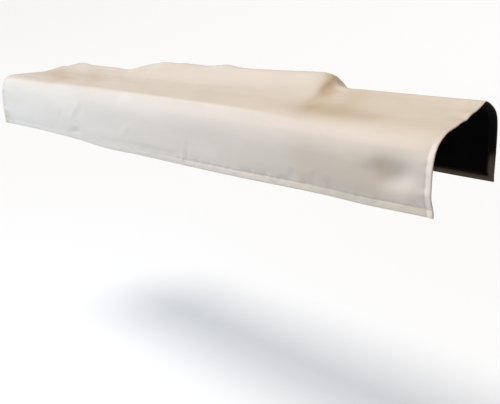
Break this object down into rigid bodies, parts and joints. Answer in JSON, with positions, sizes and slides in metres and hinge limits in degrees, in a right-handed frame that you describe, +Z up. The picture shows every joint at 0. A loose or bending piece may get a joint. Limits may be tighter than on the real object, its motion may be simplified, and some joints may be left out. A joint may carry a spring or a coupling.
{
  "type": "piano keyboard cover",
  "caption": "Long draped cloth cover for a piano keyboard, open below and at both ends, with turned hems, a black lining and a slot along its raised ridge.",
  "frame": {"origin": "mid length and mid depth of the cover, level with the underside of the top's flat part", "axes": "+X along the cover to its right end, +Y to the back, +Z up"},
  "size_m": [1.368, 0.3075, 0.2079],
  "materials": {
    "cream_cloth": "matt close-woven cloth with a soft sheen",
    "black_lining": "matt thin lining cloth"
  },
  "bodies": {
    "root": {"outer_cloth": "cream_cloth", "lining": "black_lining"}
  },
  "joints": []
}
